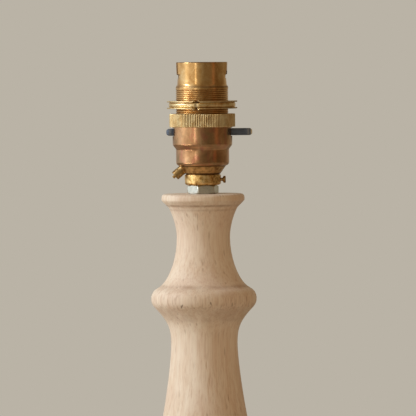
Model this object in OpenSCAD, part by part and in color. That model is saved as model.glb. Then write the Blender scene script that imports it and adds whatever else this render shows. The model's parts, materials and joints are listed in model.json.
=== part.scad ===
// Turned wooden table lamp base with a switched bayonet lampholder.
// Millimetres. Origin at the centre of the underside, +Z up, the front is -Y.

/* [Column] */
// Height of the column's top face above the table
column_top = 335; // [330:1:345]
// Radius of the bead that crowns the column
bead_r = 28.05; // [27:0.05:29]
// Radius of the slim neck above the bead
upper_neck_r = 14.15; // [13.8:0.05:15]
// Radius of the second neck, below the bead
lower_neck_r = 17.65; // [17:0.05:18.5]
// Radius of the belly
belly_r = 39; // [36:0.5:42]
// Radius of the hole drilled down the column
column_bore_r = 5.3; // [5.2:0.05:6]

/* [Foot] */
// Radius of the round foot
foot_r = 69; // [66:0.5:76]
// Height of the seat on which the column stands
foot_top = 30; // [29:0.5:31]
// Thickness of the felt under the foot
felt_t = 2; // [1.5:0.1:2.2]
// Radius of the felt
felt_r = 65; // [60:0.5:65.5]
// Radius of the opening through the cord grommet
cord_r = 3.5; // [3:0.1:3.6]
// Height of the cord outlet's axis
cord_z = 9; // [8.8:0.1:9.5]

/* [Threaded tube] */
// Outer radius of the M10 tube
tube_r = 5; // [4.9:0.05:5]
// Radius of the cable way inside the tube
tube_bore_r = 3.5; // [3:0.1:3.8]
// Width across the flats of the two hexagon nuts
nut_flats = 15; // [14:0.1:17]
// Thickness of the two hexagon nuts
nut_t = 4.7; // [4:0.1:4.8]

/* [Lampholder] */
// Outer radius of the shade thread
thread_r = 14; // [13.95:0.01:14.02]
// Radius of the bayonet socket's bore
socket_r = 11.5; // [11.5:0.05:12]
// Length of the bayonet socket's bore
socket_depth = 9.5; // [9.4:0.05:9.8]
// Height of the lampholder's rim above the column
rim_z = 70; // [69.8:0.1:70.5]
// Outer radius of the knurled union ring
union_r = 17.5; // [17.2:0.1:18]
// Number of teeth in the knurl
knurl_teeth = 114; // [90:2:120]
// Outer radius of the two flanges on the shade ring
shade_ring_r = 18.7; // [18:0.1:19.5]

/* [Switch] */
// Length of the push bar
bar_l = 45.7; // [44:0.1:46.5]
// Depth of the push bar from front to back
bar_d = 7; // [4:0.1:7.5]
// Height of the push bar
bar_h = 3.5; // [3.2:0.1:3.6]
// Travel of the push bar from one side to the other
bar_travel = 7.3; // [7.2:0.1:7.4]
// Height of the push bar's axis above the column
bar_z = 32.9; // [32.85:0.05:32.95]

/* [Hidden] */
$fn = 96;
fit = 0.05;                 // radial clearance of a running fit
screw_fit = 0.1;            // radial clearance that stands for a thread
cut = 1;                    // how far a cutting tool runs past the solid

// Foot
recess_r = 18;              // pocket for the nut under the foot
recess_z = 14;
tenon_r = 12;               // spigot under the column
tenon_z = 20;
foot_edge_z = 13;           // top of the foot's upright edge
foot_edge_round = 2.5;
foot_seat_r = 34;
foot_bottom_round = 1.5;
washer_r = 14;
washer_t = 1.5;
nut_bottom_z = recess_z - washer_t - nut_t;
tube_bottom_z = nut_bottom_z - 2;
tube_above = 9;             // tube standing above the column
grommet_r = 4;
grommet_flange_r = 6;
grommet_flange_t = 1.6;
grommet_l = 14;
spotface = 2;               // depth of the flat cut for the grommet's flange

// Column profile, from the top down:
// [radius, depth below the top face, slope from the axis, handle above, handle below]
column_edge = 1.8;
column_knots = [
    [22.05, 3.2, 0, 0, 0.5],
    [18.5, 7, -43, 1.8, 1],
    [upper_neck_r, 23.4, 0, 8, 10.6],
    [24.8, 50.2, 62, 7.3, 3.5],
    [bead_r, 55.7, 0, 0.8, 3.8],
    [22.35, 64.7, -38, 5.8, 4.8],
    [lower_neck_r, 79.7, 0, 7.8, 8],
    [22.65, 119.5, 11, 12.4, 18],
    [belly_r, 190, 0, 30, 26],
    [21, 268, 0, 26, 9],
    [29.5, 288.5, 60, 7, 3],
    [32.5, 294, 0, 1.5, 3],
    [29, 302, -35, 3, 0]
];
curve_steps = 9;            // pieces that each stretch of the profile is cut into

// Lampholder heights, above the column's top face
cap_z = nut_t;
collar_r = 9.6;
collar_top = 10.2;
collar_round = 1.5;
groove_r = 9;
cone_z = 10.8;
shell_z = 15;
cone_r = 12.4;
spigot_r = 12;
spigot_top = 17;
cap_bore_r = tube_r + screw_fit;
cap_floor = 10;
cap_cavity_r = 10.6;

shell_t = 0.8;
shell_low_r = 14.15;
shell_high_r = 15.85;
shell_round = 1.9;
ogee_low = 23.5;
ogee_high = 26.4;
shell_top = 38.8;
bar_gap = 0.3;              // clearance round the push bar in the switch
window_y = 1;               // clearance in front of and behind the bar in the shell
window_z = 0.5;             // clearance above and below the bar in the shell

union_low = 35.6;
union_high = 42.6;
union_lip = 39.8;
union_edge = 0.5;           // plain band above and below the knurl
knurl_depth = 0.35;
union_relief = 0.2;         // how far the plain bands lie below the knurl's roots
flange_r = 15.8;

thread_top = 56.2;
shoulder_r = 13.25;
shoulder_top = 58.1;
waist_r = 12.9;
waist_z = 62.4;
rim_r = 13.55;
barrel_bore_r = 12.4;

slot_w = 2.6;               // bayonet slots
slot_turn = 12.5;
slot_end = -14;
hook_start = -2.5;
slot_low = rim_z - 8.6;
slot_high = rim_z - 6.6;
hook_high = rim_z - 4.8;

spool_low = 45.3;           // shade ring
spool_high = 49.4;
spool_flange_t = 0.8;
spool_bulge_r = 17.2;
spool_waist_r = 16.6;
notch_turn = -100;
notch_depth = 0.8;

earth_x = -14.8;            // outer end of the earth terminal
earth_z = 9.6;
earth_tilt = 40;
earth_r = 2.6;
earth_l = 8.5;
earth_screw_r = 0.85;
earth_screw_out = 1.3;      // how far the earth screw stands out of the terminal
lock_z = 7.6;               // locking screw
lock_shank_r = 0.875;
lock_head_r = 1.9;
lock_flare_x = 10.3;
lock_head_x = 11.2;
lock_end_x = 12.2;
screw_slot_w = 0.6;
screw_slot_d = 0.7;

base_r = 13;                // switch base
base_top = 34.8;
channel_z = 31;
cavity_x = 9;
cavity_y = 3;
cavity_z = 19.5;
pivot_z = 25;
pivot_r = 1;
pivot_l = 9;
arm_l = 7.4;
arm_w = 1.2;
tip_r = 0.8;
tip_gap = 0.3;
hub_r = 2;
rocker_y = 2.6;             // half the hub's length
arm_y = 0.9;                // half the arm's width from front to back
pocket_y = 1.3;             // half the width of the bar's pocket
pocket_roof = 0.6;
rocker_tilt = asin(bar_travel / 2 / arm_l);
bridge_x = 4;               // half the contact bridge's length
bridge_y = 1.5;
bridge_drop = 3.2;
bridge_t = 0.8;

block_y = 7.5;              // terminals
block_size = [5.8, 4.8, 5.7];
block_z = 17.2;
block_gap = 0.1;
wire_hole_r = 1.3;
terminal_screw_r = 1.2;
terminal_head_r = 2;
terminal_head_t = 1.8;
terminal_z = 20.2;
strip_w = 3;
strip_t = 0.6;
strip_y = 9.5;

insulator_flange_r = 14.6;
insulator_r = 12.2;
insulator_top = 54.5;
plunger_y = 5;
plunger_r = 2.25;
plunger_flange_r = 2.7;
plunger_bore_r = 2.8;
plunger_floor = 42;
plunger_lip = 53.3;
plunger_low = 51.2;
plunger_shoulder = 53;
plunger_top = 59.3;
spring_r = 2.4;
spring_inner_r = 1.6;

// ---- Helpers ----
// Point at t on a cubic curve with the four control points a, b, c and d.
function curve_point(a, b, c, d, t) =
    pow(1 - t, 3) * a + 3 * pow(1 - t, 2) * t * b + 3 * (1 - t) * t * t * c + pow(t, 3) * d;

// Points of the curve between two knots, without the last one.
function stretch(k, m) =
    let (a = [k[0], -k[1]], d = [m[0], -m[1]])
    let (b = a + k[4] * [sin(k[2]), -cos(k[2])])
    let (c = d - m[3] * [sin(m[2]), -cos(m[2])])
    [for (i = [0 : curve_steps - 1]) curve_point(a, b, c, d, i / curve_steps)];

// Points of an arc round the centre c, both ends included.
function arc(c, r, from, to, steps = 6) =
    [for (i = [0 : steps]) let (a = from + (to - from) * i / steps) c + r * [cos(a), sin(a)]];

// Points of an S curve from p to q that leaves and arrives upright.
function ogee(p, q, steps = 8) =
    let (h = [0, (q[1] - p[1]) * 0.55])
    [for (i = [0 : steps]) curve_point(p, p + h, q - h, q, i / steps)];

module on_column() translate([0, 0, column_top]) children();

// Hexagon nut with both faces chamfered, turned by turn degrees.
module hexagon_nut(turn) {
    corner_r = nut_flats / 2 / cos(30);
    flat_r = nut_flats / 2 - 0.3;
    bevel = (corner_r - flat_r) * tan(30);
    difference() {
        intersection() {
            rotate([0, 0, turn]) cylinder(r = corner_r, h = nut_t, $fn = 6);
            rotate_extrude() polygon([
                [0, 0], [flat_r, 0], [corner_r, bevel],
                [corner_r, nut_t - bevel], [flat_r, nut_t], [0, nut_t]
            ]);
        }
        translate([0, 0, -cut]) cylinder(r = tube_r + screw_fit, h = nut_t + 2 * cut);
    }
}

// Places children with their +Z along the earth terminal, outward from its outer face.
module at_earth_end() {
    translate([earth_x, 0, earth_z]) rotate([0, -90 - earth_tilt, 0]) children();
}

// ---- Foot ----
module felt_pad() {
    color("darkolivegreen") cylinder(r = felt_r, h = felt_t);
}

module foot() {
    outline = concat(
        [[recess_r, felt_t], [foot_r - foot_bottom_round, felt_t]],
        arc([foot_r - foot_bottom_round, felt_t + foot_bottom_round], foot_bottom_round, -90, 0),
        arc([foot_r - foot_edge_round, foot_edge_z - foot_edge_round], foot_edge_round, 0, 90),
        [[foot_r - 5, foot_edge_z], [foot_r - 5, foot_edge_z + 1]],
        [for (i = [1 : 12]) curve_point(
            [foot_r - 5, foot_edge_z + 1], [foot_r - 7, foot_edge_z + 9],
            [foot_seat_r + 8, foot_top - 9], [foot_seat_r, foot_top - 1], i / 12)],
        [[foot_seat_r - 0.8, foot_top], [tenon_r + screw_fit, foot_top]],
        [[tenon_r + screw_fit, tenon_z], [column_bore_r, tenon_z]],
        [[column_bore_r, recess_z], [recess_r, recess_z]]
    );
    color("burlywood") difference() {
        rotate_extrude() polygon(outline);
        translate([0, 0, cord_z]) rotate([-90, 0, 0]) cylinder(r = grommet_r, h = foot_r + cut);
        translate([0, foot_r - spotface, cord_z]) rotate([-90, 0, 0])
            cylinder(r = grommet_flange_r + screw_fit, h = spotface + cut);
    }
}

module column() {
    last = len(column_knots) - 1;
    end = column_knots[last];
    outline = concat(
        [[column_bore_r, 0]],
        arc([column_knots[0][0] - column_edge, -column_edge], column_edge, 90, 0),
        [for (i = [0 : last - 1]) each stretch(column_knots[i], column_knots[i + 1])],
        [[end[0], -end[1]], [end[0], foot_top - column_top], [tenon_r, foot_top - column_top]],
        [[tenon_r, tenon_z - column_top], [column_bore_r, tenon_z - column_top]]
    );
    color("burlywood") on_column() rotate_extrude() polygon(outline);
}

module threaded_tube() {
    length = column_top + tube_above - tube_bottom_z;
    color("silver") translate([0, 0, tube_bottom_z]) difference() {
        cylinder(r = tube_r, h = length);
        translate([0, 0, -cut]) cylinder(r = tube_bore_r, h = length + 2 * cut);
    }
}

module foot_washer() {
    color("silver") translate([0, 0, recess_z - washer_t]) difference() {
        cylinder(r = washer_r, h = washer_t);
        translate([0, 0, -cut]) cylinder(r = column_bore_r, h = washer_t + 2 * cut);
    }
}

module foot_nut() {
    color("silver") translate([0, 0, nut_bottom_z]) hexagon_nut(0);
}

module cord_grommet() {
    flange_y = foot_r - spotface;
    color("black") translate([0, 0, cord_z]) rotate([-90, 0, 0]) difference() {
        union() {
            translate([0, 0, flange_y - grommet_l]) cylinder(r = grommet_r - fit, h = grommet_l);
            translate([0, 0, flange_y]) cylinder(r = grommet_flange_r, h = grommet_flange_t);
        }
        translate([0, 0, flange_y - grommet_l - cut])
            cylinder(r = cord_r, h = grommet_l + grommet_flange_t + 2 * cut);
    }
}

// ---- Lampholder, lower half ----
module top_nut() {
    color("lightgrey") on_column() hexagon_nut(13);
}

module cap_base() {
    outline = concat(
        [[cap_bore_r, cap_z]],
        arc([collar_r - collar_round, cap_z + collar_round], collar_round, -90, 0),
        [[collar_r, collar_top - 0.3], [collar_r - 0.3, collar_top], [groove_r, collar_top + 0.1]],
        [[groove_r, cone_z - 0.2], [groove_r + 0.3, cone_z], [cone_r, shell_z]],
        [[spigot_r, shell_z], [spigot_r, spigot_top], [cap_cavity_r, spigot_top]],
        [[cap_cavity_r, shell_z], [cap_bore_r + 1.5, cap_floor], [cap_bore_r, cap_floor]]
    );
    color("darkgoldenrod") on_column() difference() {
        rotate_extrude() polygon(outline);
        at_earth_end() translate([0, 0, -earth_l - cut]) cylinder(r = earth_r, h = earth_l + cut);
        translate([0, 0, lock_z]) rotate([0, 90, 0])
            cylinder(r = lock_shank_r + screw_fit, h = collar_r + cut);
    }
}

module locking_screw() {
    color("gold") on_column() translate([0, 0, lock_z]) rotate([0, 90, 0]) difference() {
        rotate_extrude() polygon(concat(
            [[0, tube_r + fit], [lock_shank_r, tube_r + fit]],
            ogee([lock_shank_r, lock_flare_x], [lock_head_r, lock_head_x]),
            [[lock_head_r, lock_end_x - 0.2], [lock_head_r - 0.2, lock_end_x], [0, lock_end_x]]
        ));
        translate([0, 0, lock_end_x + cut / 2])
            cube([screw_slot_w, 2 * lock_head_r + cut, 2 * screw_slot_d + cut], center = true);
    }
}

module earth_terminal() {
    color("goldenrod") on_column() at_earth_end() difference() {
        translate([0, 0, -earth_l]) cylinder(r = earth_r - fit / 2, h = earth_l);
        translate([0, 0, -earth_l / 2])
            cylinder(r = earth_screw_r + screw_fit, h = earth_l / 2 + cut);
        translate([0, 0, -earth_l - cut]) cylinder(r = wire_hole_r, h = earth_l / 2 - 0.5 + cut);
    }
}

module earth_screw() {
    length = earth_l / 2 - fit + earth_screw_out;
    color("gold") on_column() at_earth_end() difference() {
        translate([0, 0, earth_screw_out - length]) cylinder(r = earth_screw_r, h = length);
        translate([0, 0, earth_screw_out])
            cube([2 * earth_screw_r + cut, screw_slot_w, 2 * screw_slot_d], center = true);
    }
}

module body_shell() {
    round_r = shell_low_r - shell_round;
    inner_round = shell_round - shell_t;
    outline = concat(
        [[spigot_r + fit, shell_z], [round_r, shell_z]],
        arc([round_r, shell_z + shell_round], shell_round, -90, 0),
        ogee([shell_low_r, ogee_low], [shell_high_r, ogee_high]),
        [[shell_high_r, shell_top], [shell_high_r - shell_t, shell_top]],
        ogee([shell_high_r - shell_t, ogee_high + 0.2], [shell_low_r - shell_t, ogee_low + 0.2]),
        arc([round_r, shell_z + shell_round], inner_round, 0, -90),
        [[spigot_r + fit, shell_z + shell_t]]
    );
    color("sienna") on_column() difference() {
        rotate_extrude() polygon(outline);
        translate([0, 0, bar_z])
            cube([3 * shell_high_r, bar_d + 2 * window_y, bar_h + 2 * window_z], center = true);
        at_earth_end() translate([0, 0, -earth_l]) cylinder(r = earth_r + 0.1, h = earth_l);
    }
}

// ---- Switch ----
module switch_base() {
    pocket = block_size + 2 * block_gap * [1, 1, 1];
    color("saddlebrown") on_column() difference() {
        translate([0, 0, spigot_top]) cylinder(r = base_r, h = base_top - spigot_top);
        translate([-cavity_x, -cavity_y, cavity_z])
            cube([2 * cavity_x, 2 * cavity_y, base_top - cavity_z + cut]);
        translate([-2 * base_r, -bar_d / 2 - bar_gap, channel_z])
            cube([4 * base_r, bar_d + 2 * bar_gap, base_top - channel_z + cut]);
        translate([0, 0, pivot_z]) rotate([90, 0, 0])
            cylinder(r = pivot_r, h = pivot_l, center = true);
        for (side = [-1, 1]) scale([1, side, 1]) {
            translate([-pocket[0] / 2, block_y - pocket[1] / 2, spigot_top - cut])
                cube([pocket[0], pocket[1], pocket[2] + block_z - spigot_top + cut]);
            translate([0, block_y, terminal_z]) rotate([-90, 0, 0])
                cylinder(r = terminal_head_r + block_gap, h = base_r);
            translate([-strip_w / 2 - block_gap, strip_y - strip_t / 2 - block_gap, terminal_z])
                cube([strip_w + 2 * block_gap, strip_t + 2 * block_gap, base_top]);
        }
    }
}

// Drawn upright with its pivot at the origin, then leant to where the bar holds it.
module switch_rocker() {
    color("ivory") on_column() translate([0, 0, pivot_z]) rotate([0, rocker_tilt, 0]) difference() {
        union() {
            rotate([90, 0, 0]) cylinder(r = hub_r, h = 2 * rocker_y, center = true);
            translate([-arm_w / 2, -arm_y, -bridge_drop])
                cube([arm_w, 2 * arm_y, arm_l + bridge_drop]);
            translate([0, 0, arm_l]) rotate([90, 0, 0])
                cylinder(r = tip_r, h = 2 * arm_y, center = true);
            translate([-bridge_x, -bridge_y, -bridge_drop])
                cube([2 * bridge_x, 2 * bridge_y, bridge_t]);
        }
        rotate([90, 0, 0]) cylinder(r = pivot_r + fit, h = 3 * rocker_y, center = true);
    }
}

module pivot_pin() {
    color("silver") on_column() translate([0, 0, pivot_z]) rotate([90, 0, 0])
        cylinder(r = pivot_r, h = pivot_l, center = true);
}

// Bar pushed to the right, so that its middle stands half the travel off the axis.
module push_bar() {
    chamfer = 0.5;
    end_r = 2.2;
    y = bar_d / 2;
    z = bar_h / 2;
    x = bar_l / 2;
    color("dimgrey") on_column() translate([bar_travel / 2, 0, bar_z]) difference() {
        intersection() {
            rotate([90, 0, 90]) linear_extrude(height = bar_l, center = true) polygon([
                [-y + chamfer, -z], [y - chamfer, -z], [y, -z + chamfer], [y, z - chamfer],
                [y - chamfer, z], [-y + chamfer, z], [-y, z - chamfer], [-y, -z + chamfer]
            ]);
            linear_extrude(height = bar_d, center = true) polygon(concat(
                arc([x - end_r, y - end_r], end_r, 0, 90), arc([-x + end_r, y - end_r], end_r, 90, 180),
                arc([-x + end_r, -y + end_r], end_r, 180, 270),
                arc([x - end_r, -y + end_r], end_r, 270, 360)
            ));
        }
        translate([-tip_r - tip_gap, -pocket_y, -z - cut])
            cube([2 * (tip_r + tip_gap), 2 * pocket_y, bar_h - pocket_roof + cut]);
    }
}

module terminal_blocks() {
    color("goldenrod") on_column() for (side = [-1, 1]) scale([1, side, 1]) difference() {
        translate([-block_size[0] / 2, block_y - block_size[1] / 2, block_z]) cube(block_size);
        translate([0, block_y - 0.6, block_z - cut]) cylinder(r = wire_hole_r, h = 4 + cut);
        translate([0, block_y - 0.6, terminal_z]) rotate([-90, 0, 0])
            cylinder(r = terminal_screw_r + screw_fit, h = block_size[1]);
    }
}

module terminal_screws() {
    head_y = block_y + block_size[1] / 2;
    color("silver") on_column() for (side = [-1, 1]) scale([1, side, 1]) {
        translate([0, block_y, terminal_z]) rotate([-90, 0, 0]) difference() {
            union() {
                cylinder(r = terminal_screw_r, h = head_y - block_y + fit);
                translate([0, 0, head_y - block_y]) cylinder(r = terminal_head_r, h = terminal_head_t);
            }
            translate([0, 0, head_y - block_y + terminal_head_t])
                cube([2 * terminal_head_r + cut, screw_slot_w, 2 * screw_slot_d], center = true);
        }
    }
}

module contact_strips() {
    low = block_z + block_size[2];
    color("gold") on_column() for (side = [-1, 1]) scale([1, side, 1]) {
        translate([-strip_w / 2, strip_y - strip_t / 2, low])
            cube([strip_w, strip_t, plunger_floor - low]);
        translate([-strip_w / 2, plunger_y - strip_w / 2, plunger_floor - strip_t])
            cube([strip_w, strip_y - plunger_y + strip_w / 2, strip_t]);
    }
}

// ---- Lampholder, upper half ----
module insulator() {
    color("saddlebrown") on_column() difference() {
        union() {
            translate([0, 0, base_top]) cylinder(r = insulator_flange_r, h = shell_top - base_top);
            translate([0, 0, base_top]) cylinder(r = insulator_r, h = insulator_top - base_top);
        }
        for (side = [-1, 1]) scale([1, side, 1]) {
            translate([0, plunger_y, plunger_floor])
                cylinder(r = plunger_bore_r, h = plunger_lip - plunger_floor);
            translate([0, plunger_y, plunger_floor]) cylinder(r = plunger_r + fit, h = 20);
            translate([-strip_w / 2 - block_gap, strip_y - strip_t / 2 - block_gap, base_top - cut])
                cube([strip_w + 2 * block_gap, strip_t + 2 * block_gap, plunger_floor - base_top + cut]);
            translate([-strip_w / 2 - block_gap, plunger_y - strip_w / 2 - block_gap,
                    plunger_floor - strip_t - block_gap])
                cube([strip_w + 2 * block_gap, strip_y - plunger_y + strip_w / 2, strip_t + block_gap]);
        }
    }
}

module plunger(side) {
    dome = 1.2;
    color("gold") on_column() translate([0, side * plunger_y, 0]) rotate_extrude() polygon(concat(
        [[0, plunger_low], [plunger_flange_r, plunger_low], [plunger_flange_r, plunger_shoulder]],
        [[plunger_r, plunger_shoulder]],
        arc([plunger_r - dome, plunger_top - dome], dome, 0, 90),
        [[0, plunger_top]]
    ));
}

module spring(side) {
    length = plunger_low - plunger_floor;
    color("silver") on_column() translate([0, side * plunger_y, plunger_floor]) difference() {
        cylinder(r = spring_r, h = length);
        translate([0, 0, -cut]) cylinder(r = spring_inner_r, h = length + 2 * cut);
    }
}

module plunger_front() plunger(-1);
module plunger_rear() plunger(1);
module spring_front() spring(-1);
module spring_rear() spring(1);

// Cuts one J-shaped bayonet slot: down from the rim, round, and up again at its end.
module bayonet_slot() {
    wall = rim_r - socket_r + 2 * cut;
    rotate([0, 0, slot_turn]) translate([socket_r - cut, -slot_w / 2, slot_low])
        cube([wall, slot_w, rim_z - slot_low + cut]);
    rotate([0, 0, slot_end]) rotate_extrude(angle = slot_turn - slot_end)
        translate([socket_r - cut, slot_low]) square([wall, slot_high - slot_low]);
    rotate([0, 0, slot_end]) rotate_extrude(angle = hook_start - slot_end)
        translate([socket_r - cut, slot_low]) square([wall, hook_high - slot_low]);
}

module barrel() {
    lip = 0.3;
    outline = concat(
        [[barrel_bore_r, shell_top], [flange_r, shell_top], [flange_r, union_lip]],
        [[thread_r, union_lip], [thread_r, thread_top]],
        ogee([thread_r, thread_top], [shoulder_r, shoulder_top]),
        ogee([shoulder_r, shoulder_top], [waist_r, waist_z]),
        ogee([waist_r, waist_z], [rim_r, rim_z - 2 * lip]),
        [[rim_r - lip, rim_z], [socket_r, rim_z], [socket_r, rim_z - socket_depth]],
        [[barrel_bore_r, rim_z - socket_depth - 0.4]]
    );
    color("peru") on_column() difference() {
        rotate_extrude() polygon(outline);
        for (turn = [0, 180]) rotate([0, 0, turn]) bayonet_slot();
    }
}

module union_ring() {
    shell_gap = shell_high_r + screw_fit;
    root_r = union_r - knurl_depth;
    band_r = root_r - union_relief;
    teeth = [for (i = [0 : 2 * knurl_teeth - 1])
        (i % 2 == 0 ? union_r : root_r) * [cos(180 * i / knurl_teeth), sin(180 * i / knurl_teeth)]];
    color("goldenrod") on_column() difference() {
        union() {
            rotate_extrude() polygon([
                [thread_r + 0.2, union_low], [band_r - 0.3, union_low], [band_r, union_low + 0.3],
                [band_r, union_high - 0.3], [band_r - 0.3, union_high], [thread_r + 0.2, union_high]
            ]);
            translate([0, 0, union_low + union_edge])
                linear_extrude(height = union_high - union_low - 2 * union_edge) polygon(teeth);
        }
        translate([0, 0, union_low - cut]) cylinder(r = shell_gap, h = union_lip - union_low + cut);
        translate([0, 0, union_low]) cylinder(r = thread_r + 0.2, h = union_high);
    }
}

module shade_ring() {
    bore_r = thread_r + fit;
    low = spool_low + spool_flange_t;
    high = spool_high - spool_flange_t;
    mid = (low + high) / 2;
    bulge = [for (i = [0 : 8]) let (a = -90 + 180 * i / 8)
        [spool_waist_r + (spool_bulge_r - spool_waist_r) * cos(a), mid + (high - low) / 2 * sin(a)]];
    color("gold") on_column() difference() {
        rotate_extrude() polygon(concat(
            [[bore_r, spool_low], [shade_ring_r, spool_low], [shade_ring_r, low]],
            bulge,
            [[shade_ring_r, high], [shade_ring_r, spool_high], [bore_r, spool_high]]
        ));
        rotate([0, 0, notch_turn]) translate([shade_ring_r, 0, spool_low - cut])
            linear_extrude(height = spool_high - spool_low + 2 * cut)
            polygon([[-notch_depth, 0], [cut, notch_depth + cut], [cut, -notch_depth - cut]]);
    }
}

felt_pad();
foot();
column();
threaded_tube();
foot_washer();
foot_nut();
cord_grommet();
top_nut();
cap_base();
locking_screw();
earth_terminal();
earth_screw();
body_shell();
switch_base();
switch_rocker();
pivot_pin();
push_bar();
terminal_blocks();
terminal_screws();
contact_strips();
insulator();
plunger_front();
plunger_rear();
spring_front();
spring_rear();
barrel();
union_ring();
shade_ring();
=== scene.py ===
"""The looks of a turned wooden table lamp base with a bayonet lampholder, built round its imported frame."""
import json
import math

import bmesh
import bpy
from mathutils import Matrix, Vector, noise


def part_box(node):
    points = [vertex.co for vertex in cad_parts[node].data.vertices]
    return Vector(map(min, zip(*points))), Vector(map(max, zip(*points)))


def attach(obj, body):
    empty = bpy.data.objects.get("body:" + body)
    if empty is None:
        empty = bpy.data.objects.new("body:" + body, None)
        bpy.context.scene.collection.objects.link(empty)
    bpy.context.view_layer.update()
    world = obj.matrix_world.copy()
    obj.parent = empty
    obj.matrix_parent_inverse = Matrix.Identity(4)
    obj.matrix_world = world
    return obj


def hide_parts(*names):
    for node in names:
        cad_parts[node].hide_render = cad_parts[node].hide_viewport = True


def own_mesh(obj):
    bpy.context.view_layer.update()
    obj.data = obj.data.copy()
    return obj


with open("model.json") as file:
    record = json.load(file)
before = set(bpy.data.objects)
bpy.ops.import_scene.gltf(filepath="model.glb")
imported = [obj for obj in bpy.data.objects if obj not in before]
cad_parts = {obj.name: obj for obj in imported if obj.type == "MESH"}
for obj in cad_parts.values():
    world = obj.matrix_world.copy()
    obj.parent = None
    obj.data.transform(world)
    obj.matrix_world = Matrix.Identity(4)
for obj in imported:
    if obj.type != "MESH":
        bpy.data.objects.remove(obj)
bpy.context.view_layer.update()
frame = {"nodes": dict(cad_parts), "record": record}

# Everything below is worked out in millimetres and scaled to metres when a mesh is made.
MM = 0.001


def box_mm(node):
    """A node's lowest and highest corners at rest, in millimetres."""
    return tuple(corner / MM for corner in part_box(node))


SEAT = box_mm("column")[1].z  # the column's top face, which the lampholder stands on
SHARP = math.radians(34)  # edges that turn more than this stay crisp


def up(height):
    """Height above the table of a point that is so far above the column's top face."""
    return SEAT + height


def mount(name):
    return next(m for m in frame["record"]["mounts"] if m["name"] == name)


def radius_of(node):
    return box_mm(node)[1].x


def clamp(value):
    return min(1.0, max(0.0, value))


def bell(distance, width):
    """1 at no distance, falling smoothly to about a third at width."""
    return math.exp(-(distance / width) ** 2)


def bearing(p):
    """Angle of a point round the Z axis, in radians from +X."""
    return math.atan2(p.y, p.x)


def degrees_off(angle, centre):
    """How far an angle in radians is from a centre in degrees, from 0 to 180 degrees."""
    return abs((math.degrees(angle) - centre + 180) % 360 - 180)


def off_side(angle):
    """Degrees from the nearer of the +X and -X sides to an angle in radians."""
    return (math.degrees(angle) + 90) % 180 - 90


# ---- materials


def rgb(red, green, blue):
    """A screen colour, 0 to 255, as the linear colour that a shader takes."""
    def linear(c):
        c /= 255
        return c / 12.92 if c <= 0.04045 else ((c + 0.055) / 1.055) ** 2.4
    return (linear(red), linear(green), linear(blue), 1)


def add_node(tree, kind, inputs=None, **settings):
    """Adds a node with its settings, and links or sets its inputs."""
    made = tree.nodes.new(kind)
    for key, value in settings.items():
        setattr(made, key, value)
    for key, value in (inputs or {}).items():
        if isinstance(value, bpy.types.NodeSocket):
            tree.links.new(value, made.inputs[key])
        else:
            made.inputs[key].default_value = value
    return made


def set_stops(ramp, stops):
    """Gives a colour ramp its (position, colour) stops; a number stands for a grey."""
    while len(ramp.elements) < len(stops):
        ramp.elements.new(1)
    for element, (position, colour) in zip(ramp.elements, stops):
        element.position = position
        element.color = colour if isinstance(colour, tuple) else (colour, colour, colour, 1)


class Surface:
    """A material made of nodes that read the object's own coordinates, in millimetres."""

    def __init__(self, name, **sockets):
        self.material = bpy.data.materials.new(name)
        self.material.use_nodes = True
        self.tree = self.material.node_tree
        self.shader = self.tree.nodes["Principled BSDF"]
        for socket, value in sockets.items():
            self.shader.inputs[socket.replace("_", " ")].default_value = value
        place = self.node("ShaderNodeTexCoord").outputs["Object"]
        self.mm = self.node("ShaderNodeVectorMath", {0: place, "Scale": 1 / MM}, operation="SCALE").outputs[0]

    def node(self, kind, inputs=None, **settings):
        return add_node(self.tree, kind, inputs, **settings)

    def stretched(self, by, shift):
        return self.node("ShaderNodeMapping", {"Vector": self.mm, "Scale": by, "Location": shift}).outputs[0]

    def noise(self, size, detail=4, roughness=0.55, stretch=(1, 1, 1), distortion=0, shift=(0, 0, 0)):
        """Noise from 0 to 1 whose blobs are about size millimetres across, longer where stretch is small."""
        where = self.stretched([s / size for s in stretch], shift)
        return self.node("ShaderNodeTexNoise", {
            "Vector": where, "Scale": 1.0, "Detail": detail, "Roughness": roughness,
            "Distortion": distortion}).outputs["Fac"]

    def cells(self, size, stretch=(1, 1, 1), shift=(0, 0, 0)):
        """Distance to the nearest of a set of scattered points, about size millimetres apart."""
        where = self.stretched([s / size for s in stretch], shift)
        return self.node("ShaderNodeTexVoronoi", {"Vector": where, "Scale": 1.0}).outputs["Distance"]

    def ramp(self, factor, *stops):
        made = self.node("ShaderNodeValToRGB", {"Fac": factor})
        set_stops(made.color_ramp, stops)
        return made.outputs["Color"]

    def mix(self, factor, first, second):
        return self.node("ShaderNodeMixRGB", {
            "Fac": factor, "Color1": first, "Color2": second}).outputs["Color"]

    def maths(self, operation, first, second=0.0, **settings):
        return self.node("ShaderNodeMath", {0: first, 1: second}, operation=operation, **settings).outputs[0]

    def vectors(self, operation, first, second=(0, 0, 0)):
        return self.node("ShaderNodeVectorMath", {0: first, 1: second}, operation=operation).outputs

    def tone(self):
        """The number that a piece's mesh holds at each vertex, 0 where it holds none."""
        return self.node("ShaderNodeAttribute", attribute_name="tone").outputs["Fac"]

    def bump(self, height, depth, strength, normal=None):
        """Bump from a 0 to 1 height that stands for so many millimetres of relief."""
        inputs = {"Height": height, "Distance": depth * MM, "Strength": strength}
        if normal is not None:
            inputs["Normal"] = normal
        return self.node("ShaderNodeBump", inputs).outputs["Normal"]

    def finish(self, colour, roughness=None, normal=None):
        for name, source in (("Base Color", colour), ("Roughness", roughness), ("Normal", normal)):
            if source is not None:
                self.tree.links.new(source, self.shader.inputs[name])
        return self.material


BEAD_DEPTH = 57  # of the bead's middle below the column's top face
BEAD_REACH = 10.0
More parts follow.
